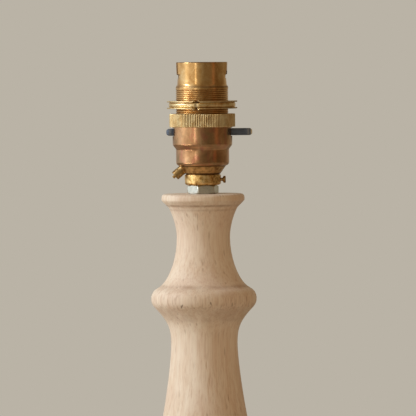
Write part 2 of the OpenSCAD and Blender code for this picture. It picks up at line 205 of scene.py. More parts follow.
# Dark flecks in the front of the column: across, out from the axis, depth, half sizes, lean, strength
FLECKS = (
    (-11.7, 24.9, 58.7, (0.55, 1.5), -24, 0.8), (3.6, 27.3, 57.1, (0.5, 1.2), 14, 0.7),
    (15, 23, 58, (0.5, 1.6), 0, 0.35), (10, 17, 19, (0.7, 0.7), 0, 0.35), (-3, 18, 12, (0.4, 3.2), 3, 0.35))
FLECK_DEEP = 4  # half of a fleck's size into the wood


def wood():
    """Pale turned hardwood: upright pores and streaks, faint growth figure, brown stain and painted shade in
    the grooves.
    """
    s = Surface("pale_turned_wood", Specular_IOR_Level=0.35)
    figure = s.noise(16, 3, 0.5, (1, 1, 0.14), 0.6)
    streaks = s.noise(2.6, 4, 0.6, (1, 1, 0.05))
    fibres = s.noise(0.8, 3, 0.65, (1, 1, 0.05))
    patches = s.noise(24, 3, 0.5, (1, 1, 0.6), 0.4, (7, 3, 1))
    pores = s.ramp(s.cells(2.3, (1, 1, 0.17)), (0.1, 1.0), (0.25, 0.0))
    pore_fields = s.ramp(s.noise(9, 2, 0.5, (1, 1, 0.25), 0, (3, 9, 5)), (0.42, 0.1), (0.6, 1.0))
    knots = s.ramp(s.cells(13, (1, 1, 0.3), (2.4, 5.1, 0.7)), (0.03, 1.0), (0.075, 0.0))
    colour = s.ramp(figure, (0.3, rgb(220, 198, 175)), (0.5, rgb(230, 212, 192)), (0.72, rgb(240, 225, 207)))
    pitted = s.maths("MULTIPLY", pores, pore_fields)
    for share, shade in (
            (s.ramp(streaks, (0.42, 0.0), (0.64, 0.5)), rgb(212, 180, 151)),
            (s.ramp(patches, (0.48, 0.0), (0.62, 0.45)), rgb(218, 190, 170)),
            (s.ramp(fibres, (0.4, 0.0), (0.64, 0.3)), rgb(248, 236, 218)),
            (s.ramp(fibres, (0.34, 0.16), (0.46, 0.0)), rgb(176, 138, 108)),
            (s.maths("MULTIPLY", pitted, 0.4), rgb(150, 110, 78)),
            (s.maths("MULTIPLY", knots, 0.5), rgb(120, 88, 66))):
        colour = s.mix(share, colour, shade)
    height = s.node("ShaderNodeSeparateXYZ", {0: s.mm}).outputs["Z"]
    from_bead = s.maths("ABSOLUTE", s.maths("SUBTRACT", height, up(-BEAD_DEPTH)))
    on_bead = s.ramp(s.maths("DIVIDE", from_bead, BEAD_REACH), (0.25, 1.0), (0.5, 0.0))
    strokes = s.ramp(s.noise(1.0, 2, 0.5, (1, 1, 0.14), 0, (6, 2, 8)), (0.5, 0.0), (0.66, 0.34))
    colour = s.mix(s.maths("MULTIPLY", on_bead, strokes), colour, rgb(160, 122, 90))
    for across, out, depth, half, lean, strength in FLECKS:
        from_fleck = s.vectors("SUBTRACT", s.mm, (across, -out, up(-depth)))[0]
        spun = s.node("ShaderNodeVectorRotate", {"Vector": from_fleck, "Angle": math.radians(lean)},
                      rotation_type="Y_AXIS").outputs[0]
        sized = s.vectors("MULTIPLY", spun, (1 / half[0], 1 / FLECK_DEEP, 1 / half[1]))[0]
        away = s.vectors("LENGTH", sized)["Value"]
        colour = s.mix(s.ramp(away, (0.4, strength), (1.0, 0.0)), colour, rgb(104, 74, 54))
    # Brown where tone says: stain, and painted shade in the creases under the lip and round the bead
    blotches = s.ramp(s.noise(7, 3, 0.6, (1, 1, 0.6)), (0.36, 0.2), (0.6, 1.0))
    colour = s.mix(s.maths("MULTIPLY", s.tone(), blotches), colour, rgb(160, 124, 98))
    rough = s.ramp(streaks, (0.3, 0.5), (0.7, 0.64))
    turned = s.noise(0.8, 2, 0.5, (0.02, 0.02, 1))
    normal = s.bump(turned, 0.03, 0.5)
    normal = s.bump(fibres, 0.07, 0.6, normal)
    normal = s.bump(s.maths("SUBTRACT", 1.0, pores), 0.15, 0.6, normal)
    return s.finish(colour, rough, normal)


# Dark brown for painted shade on brass, in hollows, grooves and round edges and openings
SHADE_BROWN = rgb(74, 44, 22)


def brass(name, light, body, dark, roughness, tarnish, patina=0.0):
    """Brass with drifting tarnish, fine turning marks, olive and rose patina, and painted shade, a dark
    brown, where tone says.
    """
    s = Surface(name, Metallic=1.0)
    drift = s.noise(tarnish, 4, 0.6, (1, 1, 0.8), 0.5)
    spots = s.noise(1.1, 3, 0.6, (1, 1, 1), 0, (4, 1, 8))
    marks = s.noise(0.25, 3, 0.6, (0.03, 0.03, 1))
    colour = s.ramp(drift, (0.32, dark), (0.5, body), (0.68, light))
    colour = s.mix(s.ramp(spots, (0.5, 0.0), (0.7, 0.35)), colour, dark)
    if patina:
        olive = s.ramp(s.noise(6, 3, 0.6, (1, 1, 0.7), 0.8, (2, 6, 1)), (0.46, 0.0), (0.6, patina))
        rose = s.ramp(s.noise(4.5, 3, 0.6, (1, 1, 0.5), 0.8, (9, 3, 5)), (0.5, 0.0), (0.62, patina))
        colour = s.mix(rose, s.mix(olive, colour, rgb(160, 140, 104)), rgb(198, 126, 110))
    # painted shade, dark brown, where tone says
    colour = s.mix(s.tone(), colour, SHADE_BROWN)
    rough = s.ramp(s.mix(0.35, drift, marks), (0.3, roughness * 0.8), (0.7, roughness * 1.3))
    rough = s.mix(s.tone(), rough, (0.6, 0.6, 0.6, 1))
    normal = s.bump(marks, 0.003, 0.8)
    return s.finish(colour, rough, s.bump(spots, 0.006, 0.5, normal))


def cast_brass():
    """Rough casting, turned smoother and browner where tone nears 1, and painted shade, dark brown, where it
    goes past 1.
    """
    s = Surface("rough_cast_brass", Metallic=1.0)
    turned = s.tone()
    # Past 1, tone gives painted shade
    groove_shade = s.maths("SUBTRACT", turned, 1.0, use_clamp=True)
    lumps = s.noise(2.2, 3, 0.55)
    grit = s.noise(0.5, 3, 0.6)
    lines = s.noise(0.5, 3, 0.6, (0.02, 0.02, 1))
    rough_cast = s.ramp(lumps, (0.34, rgb(164, 122, 66)), (0.5, rgb(222, 184, 120)),
                        (0.66, rgb(244, 214, 158)))
    smooth = s.ramp(lines, (0.35, rgb(146, 112, 66)), (0.65, rgb(210, 172, 114)))
    smooth = s.mix(s.ramp(lumps, (0.46, 0.0), (0.62, 0.7)), smooth, rgb(226, 178, 120))
    smooth = s.mix(s.ramp(lumps, (0.34, 0.6), (0.46, 0.0)), smooth, rgb(128, 80, 44))
    colour = s.mix(groove_shade, s.mix(turned, rough_cast, smooth), rgb(70, 44, 22))
    rough = s.mix(turned, s.ramp(grit, (0.35, 0.24), (0.65, 0.46)), (0.34, 0.34, 0.34, 1))
    relief = s.mix(turned, s.mix(0.2, lumps, grit), s.mix(0.75, lumps, lines))
    return s.finish(colour, rough, s.bump(relief, 0.2, 0.7))


def steel(name, light, dark, roughness):
    """Plated or drawn steel, dulled in patches."""
    s = Surface(name, Metallic=1.0)
    drift, grit = s.noise(2.4, 4, 0.6), s.noise(0.3, 3, 0.6)
    colour = s.ramp(drift, (0.35, dark), (0.65, light))
    rough = s.ramp(grit, (0.3, roughness * 0.8), (0.7, roughness * 1.3))
    return s.finish(colour, rough, s.bump(s.mix(0.4, drift, grit), 0.03, 0.7))


def moulding(name, light, dark, roughness, relief=0.02):
    """Moulded plastic or phenolic: slight mottling, flow marks and a fine orange peel."""
    s = Surface(name, Specular_IOR_Level=0.5)
    mottle = s.noise(1.4, 4, 0.6, (0.6, 1, 1), 0.4)
    peel = s.noise(0.28, 2, 0.5)
    rough = s.ramp(mottle, (0.3, roughness * 0.85), (0.7, roughness * 1.2))
    colour = s.ramp(mottle, (0.35, dark), (0.65, light))
    # Pale where tone says: wear and painted highlight on the push bar's noses
    colour = s.mix(s.tone(), colour, rgb(226, 222, 200))
    return s.finish(colour, rough, s.bump(peel, relief, 0.5))


def felt():
    s = Surface("green_felt", Roughness=0.95, Sheen_Weight=0.6, Specular_IOR_Level=0.1)
    fibres = s.noise(0.7, 5, 0.75, (1, 1, 1), 1.2)
    colour = s.ramp(s.mix(0.5, fibres, s.noise(4, 3, 0.6)), (0.36, rgb(30, 44, 32)), (0.6, rgb(66, 86, 62)))
    return s.finish(colour, None, s.bump(fibres, 0.35, 0.9))


MATERIALS = {
    "beech": wood(),
    "golden_brass": brass("golden_brass", rgb(232, 198, 146), rgb(220, 178, 120), rgb(196, 150, 94), 0.17, 5),
    "aged_brass": brass("copper_brown_brass", rgb(220, 178, 138), rgb(200, 154, 114), rgb(168, 128, 92), 0.17,
                        7, patina=0.5),
    "raw_brass": brass("raw_brass", rgb(244, 227, 184), rgb(232, 206, 156), rgb(206, 170, 116), 0.32, 3),
    "cast_brass": cast_brass(),
    "turned_brass": brass("turned_brass", rgb(222, 198, 146), rgb(202, 170, 114), rgb(156, 118, 72), 0.24, 3),
    "zinc_steel": steel("dull_zinc_plate", rgb(222, 224, 218), rgb(196, 198, 190), 0.32),
    "spring_steel": steel("spring_wire", rgb(196, 196, 196), rgb(160, 160, 162), 0.24),
    "black_moulding": moulding("charcoal_moulding", rgb(86, 98, 118), rgb(66, 77, 95), 0.46),
    "brown_moulding": moulding("brown_phenolic", rgb(70, 42, 28), rgb(44, 25, 17), 0.3),
    "cream_moulding": moulding("cream_moulding", rgb(226, 218, 198), rgb(206, 196, 174), 0.45),
    "rubber": moulding("black_rubber", rgb(34, 34, 35), rgb(22, 22, 23), 0.6, 0.04),
    "felt": felt(),
}


# ---- mesh tools


def rounded(corners, steps=4):
    """A closed outline of (radius, height) points whose corners (radius, height, fillet) are rounded."""
    points = []
    for i, (r, z, fillet) in enumerate(corners):
        corner = Vector((r, z))
        if fillet <= 0:
            points.append(corner)
            continue
        back = (Vector(corners[i - 1][:2]) - corner).normalized()
        on = (Vector(corners[(i + 1) % len(corners)][:2]) - corner).normalized()
        half = back.angle(on) / 2
        centre = corner + (back + on).normalized() * fillet / math.sin(half)
        start = corner + back * fillet / math.tan(half) - centre
        end = corner + on * fillet / math.tan(half) - centre
        points += [centre + start.lerp(end, k / steps).normalized() * fillet for k in range(steps + 1)]
    return [(p.x, p.y) for p in points]


def ease(t):
    return t * t * (3 - 2 * t)


def swell(start, end, steps=8):
    """Points of an S curve from start to end that leaves and arrives upright."""
    return [(start[0] + (end[0] - start[0]) * ease(k / steps), start[1] + (end[1] - start[1]) * k / steps)
            for k in range(steps + 1)]


def lathe(outline, segments=96, shape=None):
    """Revolves a closed outline of (radius, height) points; shape(r, z, angle) may move each point."""
    bm = bmesh.new()
    rings = []
    for r, z in outline:
        if r < 1e-6:
            rings.append([bm.verts.new((0, 0, z))] * segments)
            continue
        ring = []
        for i in range(segments):
            angle = 2 * math.pi * i / segments
            pr, pz = shape(r, z, angle) if shape else (r, z)
            ring.append(bm.verts.new((pr * math.cos(angle), pr * math.sin(angle), pz)))
        rings.append(ring)
    for a, b in zip(rings, rings[1:] + rings[:1]):
        for i in range(segments):
            j = (i + 1) % segments
            corners = list(dict.fromkeys((a[i], a[j], b[j], b[i])))
            if len(corners) > 2:
                bm.faces.new(corners)
    bmesh.ops.recalc_face_normals(bm, faces=bm.faces)
    return bm


def walled_tube(rows, angles, is_open):
    """A tube with openings. A row is (outer, inner), each a function of the angle that gives (r, z).
    is_open(angle, row) says whether the cell that starts at that row is cut away."""
    bm = bmesh.new()
    made = {}

    def vert(i, j, side):
        key = (i % len(angles), j, side)
        if key not in made:
            angle = angles[key[0]]
            r, z = rows[j][side](angle)
            made[key] = bm.verts.new((r * math.cos(angle), r * math.sin(angle), z))
        return made[key]

    def solid(i, j):
        if j < 0 or j >= len(rows) - 1:
            return False
        i %= len(angles)
        width = (angles[(i + 1) % len(angles)] - angles[i]) % (2 * math.pi)
        return not is_open(angles[i] + width / 2, j)

    for i in range(len(angles)):
        for j in range(len(rows) - 1):
            if not solid(i, j):
                continue
            out = [vert(i, j, 0), vert(i + 1, j, 0), vert(i + 1, j + 1, 0), vert(i, j + 1, 0)]
            inn = [vert(i, j, 1), vert(i + 1, j, 1), vert(i + 1, j + 1, 1), vert(i, j + 1, 1)]
            bm.faces.new(out)
            bm.faces.new(inn[::-1])
            for di, dj, edge in (
                    (0, -1, (out[0], inn[0], inn[1], out[1])), (0, 1, (out[3], out[2], inn[2], inn[3])),
                    (-1, 0, (out[0], out[3], inn[3], inn[0])), (1, 0, (out[1], inn[1], inn[2], out[2]))):
                if not solid(i + di, j + dj):
                    bm.faces.new(edge)
    return bm


def loft(bm, rings):
    """Joins rings of vertices into a closed solid with flat ends."""
    count = len(rings[0])
    for a, b in zip(rings, rings[1:]):
        for k in range(count):
            bm.faces.new((a[k], a[(k + 1) % count], b[(k + 1) % count], b[k]))
    bm.faces.new(rings[0])
    bm.faces.new(rings[-1])
    bmesh.ops.recalc_face_normals(bm, faces=bm.faces)


def wire(points, thickness, sides=10):
    """A round wire along points, with flat ends."""
    bm = bmesh.new()
    rings = []
    for i, p in enumerate(points):
        along = (points[min(i + 1, len(points) - 1)] - points[max(i - 1, 0)]).normalized()
        side = along.cross(Vector((0, 0, 1))).normalized()
        over = side.cross(along)
        rings.append([bm.verts.new(p + thickness * (side * math.cos(a) + over * math.sin(a)))
                      for a in (2 * math.pi * k / sides for k in range(sides))])
    loft(bm, rings)
    return bm


def noise_round(angle, fineness, height):
    """Smooth noise, about -1 to 1, that closes on itself round a circle."""
    return noise.noise(Vector((fineness * math.cos(angle), fineness * math.sin(angle), height)))


def sharp_edges(bm, above):
    return [e for e in bm.edges if len(e.link_faces) == 2 and e.calc_face_angle(0) > above]


def soften(bm, width, above=math.radians(40)):
    """Rounds every edge that turns more than above."""
    bmesh.ops.bevel(bm, geom=sharp_edges(bm, above), offset=width, segments=2, profile=0.5, affect="EDGES",
                    clamp_overlap=True)


def block(size, at):
    """A box of the given size round the point at, to cut with or to soften."""
    bm = bmesh.new()
    bmesh.ops.create_cube(bm, size=1, matrix=Matrix.Translation(at) @ Matrix.Diagonal((*size, 1)))
    return bm


def placed(name, data):
    """A new object in the scene, made of a bmesh, which is freed, or of ready data."""
    if isinstance(data, bmesh.types.BMesh):
        bm, data = data, bpy.data.meshes.new(name)
        bm.to_mesh(data)
        bm.free()
    made = bpy.data.objects.new(name, data)
    bpy.context.scene.collection.objects.link(made)
    return made


def carved(bm, *cutters):
    """The solid bm less each of the cutters."""
    for cutter in cutters:
        pair = [placed("carving", bm), placed("carving", cutter)]
        cut = pair[0].modifiers.new("cut", "BOOLEAN")
        cut.operation, cut.solver, cut.object = "DIFFERENCE", "EXACT", pair[1]
        bpy.context.view_layer.update()
        result = pair[0].evaluated_get(bpy.context.evaluated_depsgraph_get()).to_mesh()
        bm = bmesh.new()
        bm.from_mesh(result)
        bmesh.ops.remove_doubles(bm, verts=bm.verts, dist=1e-4)
        for o in pair:
            mesh = o.data
            bpy.data.objects.remove(o)
            bpy.data.meshes.remove(mesh)
    return bm


def piece(name, bm, slot, nodes, body="lamp", matrix=None, tone=None):
    """Makes the object, gives it its slot's material, and lets it stand for the nodes on the body.
    tone(point) is stored at each vertex, for the material to read."""
    levels = [tone(v.co) for v in bm.verts] if tone else None
    if matrix is not None:
        bmesh.ops.transform(bm, matrix=matrix, verts=bm.verts)
    for face in bm.faces:
        face.smooth = True
    for edge in sharp_edges(bm, SHARP):
        edge.smooth = False
    bmesh.ops.scale(bm, vec=(MM, MM, MM), verts=bm.verts)
    made = placed(name, bm)
    if levels:
        made.data.attributes.new("tone", "FLOAT", "POINT").data.foreach_set("value", levels)
    made.data.materials.append(MATERIALS[slot])
    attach(made, body)
    if nodes:
        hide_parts(*nodes)
    return made


def cad_outline(node):
    """The closed outline of a turned node, (radius, height), read where its surface crosses the +X side."""
    mesh = frame["nodes"][node].data
    corners, links, known = [], {}, {}
    for v in mesh.vertices:
        if v.co.x > 0 and abs(v.co.y) < 1e-7:
            p = Vector((v.co.x, v.co.z)) / MM
            near = next((k for k, c in enumerate(corners) if (c - p).length < 0.004), None)
            if near is None:
                near = len(corners)
                corners.append(p)
                links[near] = set()
            known[v.index] = near
    for edge in mesh.edges:
        a, b = (known.get(v) for v in edge.vertices)
        if a is not None and b is not None and a != b:
            links[a].add(b)
            links[b].add(a)
    walk = [max(range(len(corners)), key=lambda k: corners[k].x)]
    while True:
        onward = [k for k in links[walk[-1]] if k not in walk]
        if not onward:
            return [tuple(corners[k]) for k in walk]
        walk.append(min(onward, key=lambda k: (corners[k] - corners[walk[-1]]).length))


CORNER = math.radians(22)  # an outline that turns more than this has a real corner


def finer(outline, parts):
    """Cuts each stretch of a closed outline into parts along a smooth curve that keeps its real corners."""
    points = [Vector(p) for p in outline]
    count = len(points)

    def direction(i):
        back, on = points[i] - points[i - 1], points[(i + 1) % count] - points[i]
        return None if back.angle(on) > CORNER else (back.normalized() + on.normalized()).normalized()

    result = []
    for i, p in enumerate(points):
        q = points[(i + 1) % count]
        length = (q - p).length
        straight = (q - p).normalized()
        out = direction(i) or straight
        into = direction((i + 1) % count) or straight
        for k in range(parts):
            t = k / parts
            bend = (out - straight) * t * (1 - t) ** 2 - (into - straight) * t * t * (1 - t)
            result.append(tuple(p.lerp(q, t) + bend * length))
    return result


# ---- wood

# Brown bands, part stain and part painted shade in the creases under the lip and round the bead: depth below
# the column's top face, half the band's width, strength
STAINS_AND_SHADE = (
    (6.0, 0.5, 0.75), (8.3, 0.5, 0.35), (48.9, 0.9, 0.5), (63.5, 3.5, 0.25), (66.5, 1.0, 0.15),
    (287, 1.2, 0.5), (303, 1.6, 0.4), (321, 0.9, 0.5))
GROMMET_FLANGE = 1.6


def along_y(start, height):
    """Turns a piece made along +Z to point along +Y from y = start at a height."""
    return Matrix.Translation((0, start, height)) @ Matrix.Rotation(math.radians(-90), 4, "X")


def along_x(height):
    """Turns a piece made along +Z to point along +X at a height."""
    return Matrix.Translation((0, 0, height)) @ Matrix.Rotation(math.radians(90), 4, "Y")


def stain_and_shade_at(p):
    return min(1.0, sum(strength * bell(SEAT - p.z - depth, width) for depth, width, strength in STAINS_AND_SHADE))


def make_column():
    bm = lathe(finer(cad_outline("column"), 4), 144)
    piece("turned_column", bm, "beech", ["column"], tone=stain_and_shade_at)


def make_foot():
    """The foot, with a hole for the cord and a spotface for the grommet's flange."""
    outlet = Vector(mount("cord_outlet")["pos_m"]) / MM
    lo, hi = box_mm("cord_grommet")
    flange_r = (hi.x - lo.x) / 2
    cutters = []
    for r, start, length, segments in ((flange_r + 0.1, outlet.y - GROMMET_FLANGE, 10, 64),
                                       (flange_r - 2, radius_of("foot_washer"), 80, 48)):
        cutter = lathe([(0, 0), (r, 0), (r, length), (0, length)], segments)
        bmesh.ops.transform(cutter, matrix=along_y(start, outlet.z), verts=cutter.verts)
        cutters.append(cutter)
    bm = carved(lathe(finer(cad_outline("foot"), 2), 168), *cutters)
    piece("turned_foot", bm, "beech", ["foot"], tone=stain_and_shade_at)


def make_grommet():
    lo, hi = box_mm("cord_grommet")
    outlet = mount("cord_outlet")
    bore = outlet["dims"]["r_mm"]
    length, flange_r = hi.y - lo.y, (hi.x - lo.x) / 2
    body_r, seat = flange_r - 2.05, length - GROMMET_FLANGE
    outline = rounded([
        (bore, 0, 0.3), (body_r, 0, 0.3), (body_r, seat, 0.1), (flange_r, seat, 0.15),
        (flange_r, length, 0.7), (bore, length, 0.7)])
    piece("rubber_grommet", lathe(outline, 64), "rubber", ["cord_grommet"],
          matrix=along_y(lo.y, outlet["pos_m"][2] / MM))


def make_felt():
    _, (r, _, t) = box_mm("felt_pad")
    outline = rounded([(0, 0, 0), (r, 0, 0.6), (r, t, 0.3), (0, t, 0)])
    outline[1:1] = [(r * k / 12, 0) for k in range(1, 12)]
    outline[-1:-1] = [(r * k / 4, t) for k in range(3, 0, -1)]

    def frayed(pr, pz, angle):
        fray = 0.3 * noise_round(angle, 9, pz)
        return (pr + min(0, fray) if pr > r - 1 else pr), pz
    piece("felt_disc", lathe(outline, 144, frayed), "felt", ["felt_pad"])


# ---- fasteners


def hexagon(flats, turn):
    """Distance to the side of a hexagon with a corner at turn degrees, as a function of the angle."""
    half = flats / 2
    corner = half / math.cos(math.pi / 6) - 0.12

    def reach(angle):
        off = (angle - math.radians(turn)) % (math.pi / 3) - math.pi / 6
        return min(half / math.cos(off), corner)
    return reach


def nut(name, node, turn):
    """A hexagon nut whose top and bottom are chamfered, with a corner at turn degrees."""
    lo, hi = box_mm(node)
    lower = box_mm("foot_nut")
    flats = lower[1].y - lower[0].y  # both nuts are alike, and this one's corners point along X
    bore = radius_of("threaded_tube") + 0.1
    reach = hexagon(flats, turn)
    flat_r, corner_r = flats / 2 - 0.3, flats / 2 / math.cos(math.pi / 6)
    bevel = (corner_r - flat_r) * math.tan(math.radians(30))
    cone = [(flat_r + (corner_r - flat_r) * k / 5, lo.z + bevel * k / 5) for k in range(6)]
    top = [(r, hi.z + lo.z - z) for r, z in reversed(cone)]
    outline = [(bore + 0.6, lo.z)] + cone + top
    outline += [(bore + 0.6, hi.z), (bore, hi.z - 0.6), (bore, lo.z + 0.6)]

    def shape(r, z, angle):
        return (min(r, reach(angle)) if r > flat_r - 0.01 else r), z
    piece(name, lathe(outline, 240, shape), "zinc_steel", [node])


def make_washer():
    lo, hi = box_mm("foot_washer")
    bore = radius_of("threaded_tube") + 0.3
    outline = rounded([(bore, lo.z, 0.1), (hi.x, lo.z, 0.35), (hi.x, hi.z, 0.15), (bore, hi.z, 0.1)])
    piece("foot_washer_plate", lathe(outline, 96), "zinc_steel", ["foot_washer"])


def make_tube():
    """M10 tube with rings of grooves for its thread."""
    lo, hi = box_mm("threaded_tube")
    r, bore, pitch, depth = hi.x, 3.5, 1.0, 0.5
    count = int((hi.z - lo.z) / pitch) * 4
    outer = [(r - (depth if k % 4 in (0, 3) else 0), lo.z + (hi.z - lo.z) * k / count)
             for k in range(count + 1)]
    piece("m10_tube", lathe(outer + [(bore, hi.z), (bore, lo.z)], 32), "zinc_steel", ["threaded_tube"])


SCREW_SLOT = 0.6


def make_locking_screw():
    lo, hi = box_mm("locking_screw")
    head_r, shank, end = (hi.z - lo.z) / 2, 0.875, hi.x
    outline = [(0, lo.x), (shank, lo.x)] + swell((shank, end - 1.9), (head_r, end - 1.0), 10)
    outline += [(head_r, end - 0.25), (head_r - 0.08, end - 0.08), (head_r - 0.25, end), (0, end)]
    bm = carved(lathe(outline, 48), block((SCREW_SLOT, 2 * head_r + 1, 1.4), (0, 0, end)))
    turn = Matrix.Rotation(math.radians(28), 4, "Z")
    piece("slotted_locking_screw", bm, "turned_brass", ["locking_screw"],
          matrix=along_x((lo.z + hi.z) / 2) @ turn)


EARTH_END = (-14.8, 9.6)  # the terminal's outer end, from the axis and above the column
EARTH_TILT = 40  # degrees below the horizon
EARTH_LENGTH = 8.5
EARTH_RADIUS = 2.575
EARTH_SCREW_OUT = 1.3  # how far the screw stands out of the pillar


def at_earth_end():
    x, z = EARTH_END
    return Matrix.Translation((x, 0, up(z))) @ Matrix.Rotation(math.radians(-90 - EARTH_TILT), 4, "Y")


def make_earth_terminal():
    r, length = EARTH_RADIUS, EARTH_LENGTH
    outline = rounded([
        (1.0, -length, 0), (r, -length, 0), (r, -3.9, 0.1), (r - 0.12, -3.8, 0.05), (r - 0.12, -3.4, 0.05),
        (r, -3.3, 0.1), (r, 0, 0.35), (1.0, 0, 0.15)])

    # Painted shade in the groove, and a darker brown at the outer end
    def dark_end_and_groove(p):
        return 0.45 if p.z > -0.5 or -3.95 < p.z < -3.25 else 0.0
    piece("earth_pillar", lathe(outline, 64), "turned_brass", ["earth_terminal"], matrix=at_earth_end(),
          tone=dark_end_and_groove)


def make_earth_screw():
    r, out = 0.85, EARTH_SCREW_OUT
    outline = [(0, -4), (r, -4), (r, out - 0.15), (r - 0.15, out), (0, out)]
    bm = carved(lathe(outline, 40), block((4, SCREW_SLOT, 1.2), (0, 0, out)))
    turn = Matrix.Rotation(math.radians(10), 4, "Z")
    piece("earth_grub_screw", bm, "turned_brass", ["earth_screw"], matrix=at_earth_end() @ turn)


# ---- lampholder


COLLAR_R, GROOVE_R, CONE_R = 9.6, 9.0, 12.4
COLLAR_TOP, CONE_TOP = 10.2, 15  # heights above the column


def make_cap():
    """The rough casting: a collar, a groove and a cone."""
    lo, hi = box_mm("cap_base")
    bore, rim_r, mouth_r = radius_of("threaded_tube") + 0.1, 12.0, 10.6
    outline = rounded([
        (bore, lo.z, 0), (COLLAR_R, lo.z, 1.4), (COLLAR_R, up(COLLAR_TOP), 0.4),
        (GROOVE_R, up(10.25), 0.1), (GROOVE_R, up(10.6), 0.1), (9.4, up(10.75), 0.15),
        (CONE_R, up(CONE_TOP), 0.1), (rim_r, up(15.02), 0.02), (rim_r, hi.z, 0.2), (mouth_r, hi.z, 0.2),
        (mouth_r, up(CONE_TOP), 0.5), (bore + 1.5, up(10), 0.5), (bore, up(10), 0)], 6)
    rows = []
    for (r, z), (r2, z2) in zip(outline, outline[1:] + outline[:1]):
        outside = r > GROOVE_R - 0.1 and z < up(CONE_TOP)
        parts = max(1, round(math.hypot(r2 - r, z2 - z) / 0.7)) if outside else 1
        rows += [(r + (r2 - r) * k / parts, z + (z2 - z) * k / parts) for k in range(parts)]

    def lumpy(r, z, angle):
        if r < GROOVE_R - 0.1 or z > up(CONE_TOP - 0.3) or z < lo.z + 0.01:
            return r, z
        at = Vector((r * math.cos(angle), r * math.sin(angle), z))
        swing = noise.noise(at * 0.35) * 0.22 + noise.noise(at * 0.9) * 0.1
        swing *= 1 if z < up(COLLAR_TOP + 0.1) else 0.7
        sag = noise_round(angle, 3, 2) * 0.25
        return r + min(swing, 0.05), z + max(0.0, sag) * max(0.0, 1 - (z - lo.z) / 1.6)

    # Tone for the cast brass: turned above the collar, and past 1 painted shade in the groove and in a band
    # at the cone's top under the shell's edge
    def turned(p):
        groove = bell(p.z - up(10.75), 0.45) + 0.7 * bell(p.z - up(14.9), 0.4)
        return clamp((p.z - up(10.1)) / 0.3) + min(1.0, groove) * (p.z > up(COLLAR_TOP))
    piece("cast_cap", lathe(rows, 180, lumpy), "cast_brass", ["cap_base"], tone=turned)


SHELL_WALL = 0.8
WINDOW_Y, WINDOW_Z = 1.0, 0.5  # clearance of the shell's windows round the bar
MM_PER_DEGREE = 0.28  # round the shell


def ring_angles(step, *extra):
    """Angles round a circle, in radians, every step degrees, with the extra ones put in."""
    wanted = {round(e % 360, 3) for e in extra}
    regular = (a / 4 for a in range(0, 360 * 4, int(step * 4)))
    kept = {a for a in regular if all(abs((a - w + 180) % 360 - 180) > step * 0.3 for w in wanted)}
    return [math.radians(a) for a in sorted(kept | wanted)]


def fixed(r, z):
    return lambda angle: (r, z)


def make_shell():
    """The thin shell that holds the switch, with a window on each side for the push bar."""
    lo, hi = box_mm("body_shell")
    bar_lo, bar_hi = box_mm("push_bar")
    mouth_r, low_r, high_r, fillet = 12.15, 14.15, hi.x, 1.9
    window = (bar_lo.z - WINDOW_Z, bar_hi.z + WINDOW_Z)
    outer = [(low_r - fillet * (1 - math.sin(a)), lo.z + fillet * (1 - math.cos(a)))
             for a in (math.pi / 2 * k / 8 for k in range(9))]
    outer[0] = (mouth_r, lo.z)
    outer += [(low_r, up(20)), *swell((low_r, up(23.4)), (high_r, up(26.5)), 14)]
    outer += [(high_r, z) for z in (window[0] - 0.25, window[0], window[1], window[1] + 0.2, hi.z)]
    inner = []
    for k, (r, z) in enumerate(outer):
        a, b = Vector(outer[max(k - 1, 0)]), Vector(outer[min(k + 1, len(outer) - 1)])
        tangent = (b - a).normalized()
        inner.append((r - SHELL_WALL * tangent.y, z + SHELL_WALL * max(0, tangent.x)))
    inner[0] = (mouth_r, lo.z + SHELL_WALL)
    inner[-1] = (high_r - SHELL_WALL, hi.z)
    rows = [(fixed(*o), fixed(*i)) for o, i in zip(outer, inner)]
    first = next(k for k, (r, z) in enumerate(outer) if abs(z - window[0]) < 1e-6)
    half = math.degrees(math.asin((bar_hi.y + WINDOW_Y) / high_r))
    angles = ring_angles(2.5, half, -half, 180 - half, 180 + half)

    def is_open(angle, row):
        return row == first and abs(off_side(angle)) < half

    # Painted shade round the bar's windows and along the shell's lower edge, and a faint darker band down the
    # front
    def painted_shell_shade(p):
        across = max(0.0, abs(off_side(bearing(p))) - half) * MM_PER_DEGREE
        above = max(0.0, abs(p.z - sum(window) / 2) - (window[1] - window[0]) / 2)
        round_window = 0.75 * bell(math.hypot(across, above), 0.7) if p.z > up(28) else 0.0
        under_edge = 0.8 if p.z < lo.z + 0.1 else 0.0
        return max(round_window, under_edge, 0.18 * bell(math.degrees(bearing(p)) + 93, 7))
    bm = walled_tube(rows, angles, is_open)
    piece("spun_shell", bm, "aged_brass", ["body_shell"], tone=painted_shell_shade)


KNURL_TEETH = 114
KNURL_DEPTH = 0.35
UNION_LIP = 39.8  # height of the lip that clamps the barrel's flange


